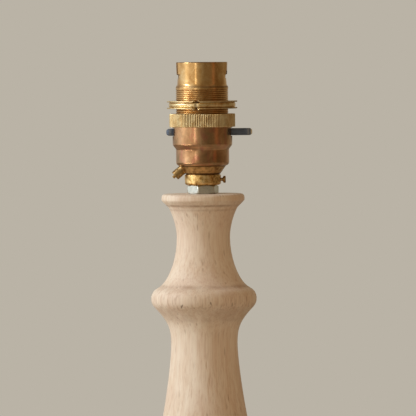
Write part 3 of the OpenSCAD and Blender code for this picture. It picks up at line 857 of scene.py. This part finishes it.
def make_union_ring():
    lo, hi = box_mm("union_ring")
    r, bore, lip = hi.x, 14.2, up(UNION_LIP)
    shell_gap = radius_of("body_shell") + 0.1
    outline = rounded([
        (shell_gap, lo.z, 0.1), (r, lo.z, 0.25), (r, hi.z, 0.3), (bore, hi.z, 0.15), (bore, lip, 0),
        (shell_gap, lip, 0)], 3)
    at = next(k for k, p in enumerate(outline) if p[1] > up(41) and p[0] > 17)
    outline[at:at] = [(r, lo.z + (hi.z - lo.z) * t) for t in (0.12, 0.3, 0.5, 0.7, 0.88)]

    def knurl(pr, pz, angle):
        if pr < r - 0.32:
            return pr, pz
        tooth = angle / (2 * math.pi) * KNURL_TEETH
        groove = max(0.0, abs((tooth % 1) * 2 - 1) - 0.3) / 0.7
        wear = min(0, noise_round(angle, 7, pz * 0.15))
        return pr - groove * KNURL_DEPTH * (0.9 + 0.5 * wear), pz

    # Painted shade in the knurl's grooves, stronger in patches
    def groove_shade(p):
        depth = r - math.hypot(p.x, p.y)
        patch = 0.5 + 0.9 * noise_round(bearing(p), 5, p.z * 0.1)
        in_groove = 0.02 < depth < KNURL_DEPTH + 0.02 and lo.z + 0.3 < p.z < hi.z - 0.3
        return max(0.0, patch) * 0.9 * depth / KNURL_DEPTH if in_groove else 0.0
    bm = lathe(outline, KNURL_TEETH * 7, knurl)
    piece("knurled_union_ring", bm, "raw_brass", ["union_ring"], tone=groove_shade)


THREAD_R = 14.0
THREAD_PITCH = 25.4 / 24
THREAD_DEPTH = 0.45
THREAD_TOP = 55.9
WAIST_R, RIM_R = 12.93, 13.2
SLOT_WIDTH = 2.6
SLOT_TURN, SLOT_HOOK, SLOT_END = 12.5, -2.5, -14.0  # degrees round the barrel
SLOT_LOW, SLOT_HIGH, HOOK_HIGH = 8.6, 6.6, 4.8  # depths below the rim
SLOT_LIP = 0.42  # how far the metal round a slot is pushed out


def thread(z):
    """Radius of the shade thread at the height z above the column, as a function of the angle."""
    def at(angle):
        phase = (z / THREAD_PITCH - angle / (2 * math.pi)) % 1
        groove = max(0.0, 1 - abs(phase - 0.5) / 0.36)
        fade = clamp((THREAD_TOP - z) / 0.5)
        return THREAD_R - THREAD_DEPTH * fade * groove, up(z)
    return at


def make_barrel():
    """Threaded lower half, and a socket above it with two J-shaped slots whose edges stand out."""
    socket = mount("bayonet_socket")["dims"]
    lo, hi = box_mm("barrel")
    rim = hi.z - SEAT
    bore, wide = socket["r_mm"], 12.4
    step_z = rim - socket["length_mm"]
    slot_low, slot_high, hook_high = rim - SLOT_LOW, rim - SLOT_HIGH, rim - HOOK_HIGH
    half = math.degrees(math.asin(SLOT_WIDTH / 2 / 12.5))
    lip = up(UNION_LIP)
    rows = [(fixed(hi.x, lo.z), fixed(wide, lo.z)), (fixed(hi.x, lip), fixed(wide, lip - 0.2)),
            (fixed(THREAD_R - THREAD_DEPTH, lip), fixed(wide, lip))]
    steps = int((THREAD_TOP - 40) / THREAD_PITCH * 12)
    for k in range(steps + 1):
        z = 40 + (THREAD_TOP - 40) * k / steps
        rows.append((thread(z), fixed(wide, up(z))))

    def pushed_out(r, z):
        rise = ease(clamp((z - slot_high + 0.5) / 0.9))

        def at(angle):
            off = off_side(angle)
            return r + SLOT_LIP * rise * bell(max(0.0, off - SLOT_TURN - half, SLOT_END - off), 7), up(z)
        return at

    shoulder = [(THREAD_R - 0.02, THREAD_TOP + 0.1), (13.98, 56.4), (13.96, 56.6), (13.91, 56.75),
                (13.8, 57.0), (13.64, 57.3), (13.46, 57.6), (13.3, 57.9), (13.2, 58.15), (13.15, 58.4)]
    waist = swell((13.12, 58.7), (WAIST_R, slot_low), 5)
    socket_part = [(WAIST_R + (RIM_R - WAIST_R) * (z - slot_low) / (rim - 0.4 - slot_low), z) for z in (
        slot_low + 0.6, slot_high - 0.5, slot_high - 0.2, slot_high, slot_high + 0.3, slot_high + 0.7,
        hook_high, rim - 3, rim - 2, rim - 1, rim - 0.4)]
    socket_part += [(RIM_R - 0.02, rim - 0.2), (RIM_R - 0.1, rim - 0.06), (RIM_R - 0.25, rim)]
    for r, z in shoulder + waist + socket_part:
        inner_r = wide if z < step_z - 0.1 else bore
        if z > rim - 0.3:
            inner_r = bore + (0.25 if z > rim - 0.03 else 0.08)
        rows.append((pushed_out(r, z), fixed(inner_r, up(z))))
    heights = [row[0](0)[1] - SEAT for row in rows]
    edges = [SLOT_TURN - half, SLOT_TURN + half, SLOT_HOOK, SLOT_END]
    angles = ring_angles(2, *edges, *(e + 180 for e in edges))

    def is_open(angle, row):
        z, off = (heights[row] + heights[row + 1]) / 2, off_side(angle)
        if z > slot_low and abs(off - SLOT_TURN) < half:
            return True
        if SLOT_END < off < SLOT_TURN and slot_low < z < slot_high:
            return True
        return SLOT_END < off < SLOT_HOOK and slot_low < z < hook_high

    # Painted shade: dark in the bore, on the slot edges, in the thread's roots and on the rim's top, and a
    # painted dark reflection in a band under the flare
    def painted_shade(p):
        r, z, off = math.hypot(p.x, p.y), p.z - SEAT, off_side(bearing(p))
        if r < 12.8 or z > slot_low - 0.05 and min(abs(off - e) for e in edges) < 0.2:
            return 0.8
        if z < THREAD_TOP:
            return 0.5 * clamp((THREAD_R - r) / THREAD_DEPTH)
        return max(0.6 * bell(z - 56.9, 0.5), 0.7 if z > rim - 0.1 else 0.0)
    bm = walled_tube(rows, angles, is_open)
    piece("threaded_barrel", bm, "golden_brass", ["barrel"], tone=painted_shade)


SHADE_NOTCH = -100  # degrees round the ring
NOTCH_WIDTH = 1.2


def make_shade_ring():
    """A spool: two thin flanges with a bulge between them, nicked and bent open at one place."""
    lo, hi = box_mm("shade_ring")
    r, bore, thin, bulge, waist = hi.x, THREAD_R + 0.05, 0.65, 17.75, 16.5
    clear = radius_of("union_ring") + 0.1
    middle, half, rim = (lo.z + hi.z) / 2, (hi.z - lo.z) / 2 - thin, 0.2
    belly = [(waist + (bulge - waist) * math.cos(a) ** 0.6, middle + half * math.sin(a))
             for a in (math.pi * (k / 12 - 0.5) for k in range(13))]
    low = rounded([(bore, lo.z, 0.15), (r, lo.z, rim), (r, lo.z + thin, rim), (waist, lo.z + thin, 0)], 5)
    high = rounded([(waist, hi.z - thin, 0), (r, hi.z - thin, rim), (r, hi.z, rim), (bore, hi.z, 0.15)], 5)
    low.insert(6, (clear, lo.z))
    for k in (1, 2, 3):
        low.insert(-1, (r - rim - k * (r - rim - waist) / 4, lo.z + thin))
        high.insert(k, (waist + k * (r - rim - waist) / 4, hi.z - thin))
    outline = low[:-1] + belly + high[1:]

    def nick(angle):
        """How deep the notch is at an angle, and how far the metal beside it is bent."""
        off = math.radians(degrees_off(angle, SHADE_NOTCH)) * r
        return max(0.0, 1 - off / NOTCH_WIDTH), bell(off - NOTCH_WIDTH, 0.7)

    def nicked(pr, pz, angle):
        if pr < waist + 0.02 and abs(pz - middle) < half + 0.1:
            return pr, pz
        cut, bent = nick(angle)
        share = max(0.0, (pr - waist) / (r - waist))
        if abs(pz - middle) < half - 0.02:
            return pr - 0.25 * cut, pz
        wobble = 0.05 * math.sin(2 * angle + 0.7) + 0.04 * math.sin(5 * angle + 2)
        if pz > middle:
            return pr - 2.0 * cut * share, pz + share * (0.8 * bent + wobble)
        overhang = max(0.0, (pr - clear) / (r - clear))
        return pr - 2.0 * cut * share, pz + share * max(0.0, wobble) - 0.8 * bent * overhang

    # Painted shade in the corners beside the belly, along the flange tips on the right side, and in the notch
    def painted_shade(p):
        cut, out, off = nick(bearing(p))[0], math.hypot(p.x, p.y), abs(p.z - middle) - half
        corner = 0.35 * (abs(off) < 0.15 and out < waist + 0.4)
        tip = 0.5 * (out > r - 0.4) * max(0.0, math.cos(bearing(p))) ** 2
        return max(corner, tip, cut if off > -0.02 and out > waist + 0.1 else 0.25 * cut)
    bm = lathe(outline, 480, nicked)
    piece("shade_spool", bm, "raw_brass", ["shade_ring"], body="shade_ring", tone=painted_shade)


BAR_NOSE = 2.2  # radius of the noses, seen from above
BAR_LIFT = 1.7  # length over which the noses close in, seen from the front
BAR_CHAMFER = 0.5


def make_push_bar():
    """A flat bar of chamfered section with rounded noses, the right one rubbed pale with a painted highlight,
    and a faint painted highlight where each nose begins.
    """
    lo, hi = box_mm("push_bar")
    centre = (lo + hi) / 2
    length, depth, height = hi - lo
    steps = [BAR_NOSE * (1 - math.cos(math.pi / 2 * k / 9)) for k in range(10)]
    bm = bmesh.new()

    def section(from_tip, side):
        round_off = 1 - math.sqrt(1 - max(0.0, 1 - from_tip / BAR_NOSE) ** 2)
        lift = 1 - math.sqrt(1 - max(0.0, 1 - from_tip / BAR_LIFT) ** 2)
        y = depth / 2 - round_off * BAR_NOSE
        z = (height / 2 + 0.1) * (1 - 0.75 * lift)
        c = min(BAR_CHAMFER, 0.4 * z)
        ring = [(y, z - c), (y - c, z), (c - y, z), (-y, z - c)]
        ring += [(-a, -b) for a, b in ring]
        x = centre.x + side * (length / 2 - from_tip)
        return [bm.verts.new((x, a, centre.z + b)) for a, b in ring]
    rings = [section(d, -1) for d in steps + [3.2, 6]] + [section(d, 1) for d in [6, 3.2] + steps[::-1]]
    loft(bm, rings)
    soften(bm, 0.12, math.radians(30))

    # Pale right nose, worn and painted highlight, and a faint painted highlight band where the noses begin
    def wear_and_highlight(p):
        from_tip = length / 2 - abs(p.x - centre.x)
        tip = math.exp(-(from_tip / 0.75) ** 4) if p.x > 0 else 0.0
        return tip + 0.16 * bell(from_tip - 2, 0.4)
    piece("push_switch_bar", bm, "black_moulding", ["push_bar"], body="push_bar", tone=wear_and_highlight)


def make_insulator():
    """The upper moulding, seen through the socket: a stepped rim and a low rib between the plungers."""
    lo, hi = box_mm("insulator")
    flange, body, step, top = hi.x, 12.2, up(38.8), hi.z
    outline = rounded([
        (0, lo.z, 0), (flange, lo.z, 0.3), (flange, step, 0.3), (body, step, 0), (body, top - 0.9, 0.2),
        (body - 0.9, top - 0.9, 0.1), (body - 0.9, top, 0.3), (0, top, 0)])
    outline[-1:] = [(r, top) for r in (9, 6, 3, 0)]
    holes, hole_r = [], 2.3
    for node in ("plunger_front", "plunger_rear"):
        a, b = box_mm(node)
        hole = lathe([(0, top - 4), (hole_r, top - 4), (hole_r, top + 2), (0, top + 2)], 48)
        bmesh.ops.translate(hole, vec=(0, (a.y + b.y) / 2, 0), verts=hole.verts)
        holes.append(hole)
    piece("upper_moulding", carved(lathe(outline, 120), *holes), "brown_moulding", ["insulator"])
    rib = block((17, 1.6, 1.4), (0, 0, top + 0.5))
    soften(rib, 0.3)
    piece("moulding_rib", rib, "brown_moulding", [])


def make_plunger(node):
    lo, hi = box_mm(node)
    flange, r, shoulder = (hi.x - lo.x) / 2, 2.25, up(53)
    outline = rounded([
        (0, lo.z, 0), (flange, lo.z, 0.2), (flange, shoulder, 0.2), (r, shoulder, 0.05), (r, hi.z, 1.1),
        (0.9, hi.z, 0.2), (0.7, hi.z - 0.35, 0.1), (0, hi.z - 0.35, 0)], 5)
    piece(node + "_pin", lathe(outline, 56), "turned_brass", [node], node,
          Matrix.Translation((0, (lo.y + hi.y) / 2, 0)))


SPRING_TURNS = 6.5
SPRING_WIRE = 0.36


def make_spring(node):
    lo, hi = box_mm(node)
    middle = Vector(((lo.x + hi.x) / 2, (lo.y + hi.y) / 2, 0))
    r = (hi.x - lo.x) / 2 - SPRING_WIRE
    count = int(SPRING_TURNS * 28)
    points = []
    for k in range(count + 1):
        a = 2 * math.pi * SPRING_TURNS * k / count
        rise = lo.z + SPRING_WIRE + (hi.z - lo.z - 2 * SPRING_WIRE) * ease(k / count)
        points.append(middle + Vector((r * math.cos(a), r * math.sin(a), rise)))
    made = piece(node + "_coil", wire(points, SPRING_WIRE), "spring_steel", [node])
    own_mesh(made)


def dress_inner_nodes():
    """Sealed inner nodes keep their CAD shape and take their slot's material."""
    slots = {part["node"]: part["material_slot"] for part in frame["record"]["subparts"]}
    for name in ("switch_base", "switch_rocker", "pivot_pin", "terminal_blocks", "terminal_screws",
                 "contact_strips"):
        for slot in frame["nodes"][name].material_slots:
            slot.material = MATERIALS[slots[name]]


# ---- camera, light and room

VIEW_DISTANCE = 3000
VIEW_TILT = 1.9  # degrees above the horizon
VIEW_ROLL = 0.55
VIEW_WIDTH = 221.3  # width of the view at the lamp's axis
VIEW_CENTRE = (2.6, -7.6)  # to the right of the axis, and above the column's top face
FLOOR_RADIUS = 2.4  # metres


def make_camera():
    data = bpy.data.cameras.new("camera")
    data.lens = data.sensor_width * VIEW_DISTANCE / VIEW_WIDTH
    data.clip_start, data.clip_end = 0.1, 20
    camera = placed("camera", data)
    tilt = math.radians(VIEW_TILT)
    across, above = VIEW_CENTRE
    target = Vector((across, 0, up(above)))
    back = Vector((0, -math.cos(tilt), math.sin(tilt)))
    camera.location = (target + back * VIEW_DISTANCE) * MM
    camera.rotation_mode = "QUATERNION"
    roll = Matrix.Rotation(math.radians(-VIEW_ROLL), 3, back)
    camera.rotation_quaternion = (roll @ (-back).to_track_quat("-Z", "Y").to_matrix()).to_quaternion()
    bpy.context.scene.camera = camera


def softbox(name, side, rise, distance, size, power, colour, reflected=True):
    """An area light that faces the lampholder from so many degrees left (-) or right (+) of the camera."""
    data = bpy.data.lights.new(name, "AREA")
    data.shape, data.size, data.size_y = "RECTANGLE", size[0], size[1]
    data.energy, data.color = power, colour[:3]
    light = placed(name, data)
    a, e = math.radians(side), math.radians(rise)
    aim = Vector((0, 0, up(0) * MM))
    out = Vector((math.sin(a) * math.cos(e), -math.cos(a) * math.cos(e), math.sin(e)))
    light.location = aim + out * distance
    light.rotation_mode = "QUATERNION"
    light.rotation_quaternion = (-out).to_track_quat("-Z", "Y")
    light.visible_glossy = reflected


def make_room():
    """A pale floor, wide enough to fill the frame in a view from above."""
    bm = bmesh.new()
    bmesh.ops.create_circle(bm, cap_ends=True, segments=96, radius=FLOOR_RADIUS)
    floor = placed("floor", bm)
    s = Surface("pale_plaster", Roughness=0.9, Specular_IOR_Level=0.2)
    colour = s.ramp(s.noise(90, 3, 0.5), (0.35, rgb(185, 175, 160)), (0.65, rgb(192, 183, 168)))
    floor.data.materials.append(s.finish(colour, None, s.bump(s.noise(6, 4, 0.55), 0.6, 0.35)))


# Bearing in degrees from the camera's side, + to the right, and the light that comes from there
ROOM = (
    (-92, (1.02, 1.04, 1.02)), (-80, (1.5, 1.52, 1.46)), (-66, (1.2, 1.18, 1.08)), (-60, (0.95, 0.9, 0.8)),
    (-45, (0.86, 0.78, 0.64)), (-30, (0.7, 0.6, 0.44)), (-18, (0.5, 0.45, 0.35)), (-8, (0.34, 0.3, 0.22)),
    (4, (0.23, 0.19, 0.13)), (15, (0.19, 0.15, 0.095)), (46, (0.18, 0.13, 0.075)), (57, (0.32, 0.16, 0.08)),
    (66, (0.15, 0.1, 0.052)), (110, (0.19, 0.14, 0.08)), (140, (0.34, 0.28, 0.19)), (180, (0.46, 0.41, 0.33)),
    (225, (0.55, 0.52, 0.45)), (250, (0.88, 0.88, 0.84)), (267, (1.02, 1.04, 1.02)))
OVERHEAD = (0.24, 0.18, 0.12, 1)
BACKGROUND = rgb(186, 179, 166)


def make_light():
    """A room with its window on the left, dim and warm on the right, and an even background."""
    world = bpy.data.worlds.new("room")
    world.use_nodes = True
    tree = world.node_tree
    place = add_node(tree, "ShaderNodeTexCoord").outputs["Generated"]
    turn = add_node(tree, "ShaderNodeTexGradient", {"Vector": place}, gradient_type="RADIAL").outputs["Fac"]
    walls = add_node(tree, "ShaderNodeValToRGB", {"Fac": turn})
    set_stops(walls.color_ramp, [(0.25 + angle / 360, (*colour, 1)) for angle, colour in ROOM])
    height = add_node(tree, "ShaderNodeSeparateXYZ", {0: place}).outputs["Z"]
    slope = add_node(tree, "ShaderNodeMath", {0: height}, operation="ABSOLUTE").outputs[0]
    steep = add_node(tree, "ShaderNodeMath", {0: slope, 1: 3}, operation="POWER").outputs[0]
    room = add_node(tree, "ShaderNodeMixRGB", {
        "Fac": steep, "Color1": walls.outputs["Color"], "Color2": OVERHEAD}).outputs["Color"]
    seen = add_node(tree, "ShaderNodeLightPath").outputs["Is Camera Ray"]
    shown = add_node(tree, "ShaderNodeMixRGB", {"Fac": seen, "Color1": room, "Color2": BACKGROUND})
    tree.links.new(shown.outputs["Color"], tree.nodes["Background"].inputs["Color"])
    bpy.context.scene.world = world
    softbox("window", -80, 29, 1.6, (0.5, 0.72), 11.4, (0.93, 1.0, 1.08))
    softbox("far_window", -29, 6, 2.4, (0.2, 0.8), 1.0, (1.0, 0.95, 0.88))
    softbox("warm_fill", 44, 12, 1.6, (1.4, 1.2), 3.5, (1.0, 0.62, 0.34), reflected=False)
    softbox("table_glow", -66, -18, 1.1, (0.8, 0.2), 3.2, (1.0, 0.92, 0.82))
    bpy.context.scene.view_settings.view_transform = "Standard"


make_camera()
make_light()
make_room()
make_column()
make_foot()
make_grommet()
make_felt()
make_washer()
make_tube()
nut("column_nut", "top_nut", 13)
nut("foot_nut_plate", "foot_nut", 0)
make_cap()
make_locking_screw()
make_earth_terminal()
make_earth_screw()
make_shell()
make_push_bar()
make_union_ring()
make_barrel()
make_shade_ring()
make_insulator()
for side in ("front", "rear"):
    make_plunger("plunger_" + side)
    make_spring("spring_" + side)
dress_inner_nodes()
